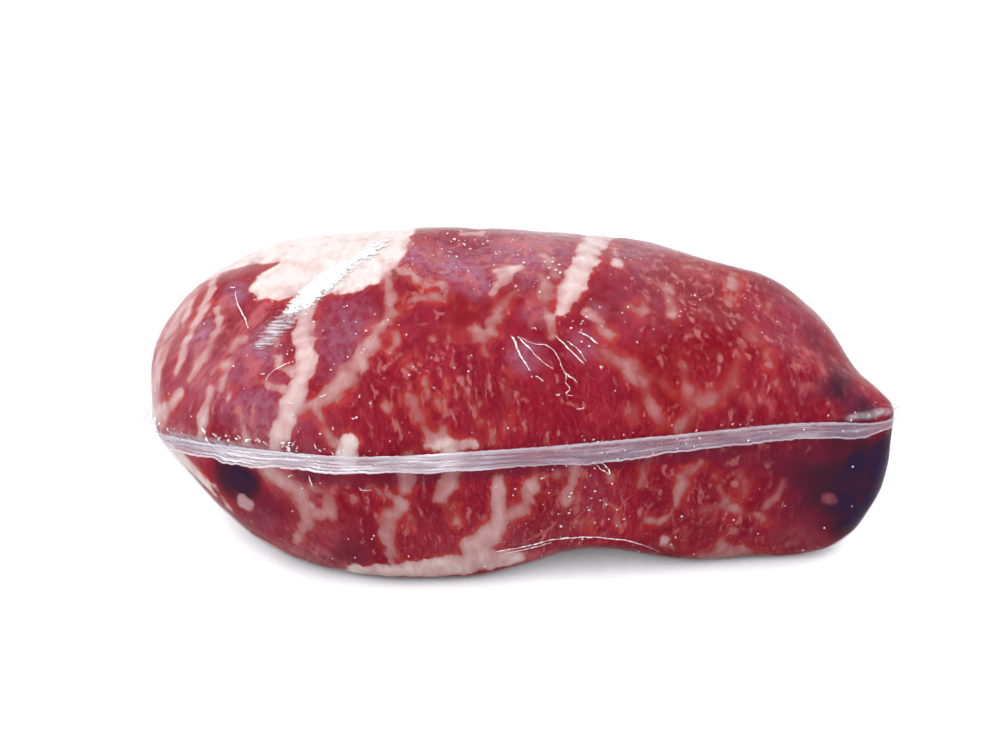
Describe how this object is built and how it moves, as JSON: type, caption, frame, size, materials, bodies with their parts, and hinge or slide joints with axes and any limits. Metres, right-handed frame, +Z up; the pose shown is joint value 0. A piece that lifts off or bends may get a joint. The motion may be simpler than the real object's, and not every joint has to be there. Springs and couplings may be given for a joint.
{
  "type": "raw beef steak",
  "caption": "Thick, heavily marbled raw beef steak, shrink-wrapped in clear film with a welded seam fin round its side.",
  "frame": {"origin": "below the middle of the steak's bounding box, on the plane it rests on", "axes": "+X along the length towards the narrow end, +Y towards the back, +Z up"},
  "size_m": [0.1692, 0.1008, 0.0565],
  "materials": {
    "beef": "moist marbled raw beef, deep red lean with cream fat, under tight clear film",
    "film": "clear shrink film, welded and crimped, glossy and slightly milky at the weld"
  },
  "bodies": {
    "root": {"steak": "beef", "film_seam": "film"}
  },
  "joints": []
}
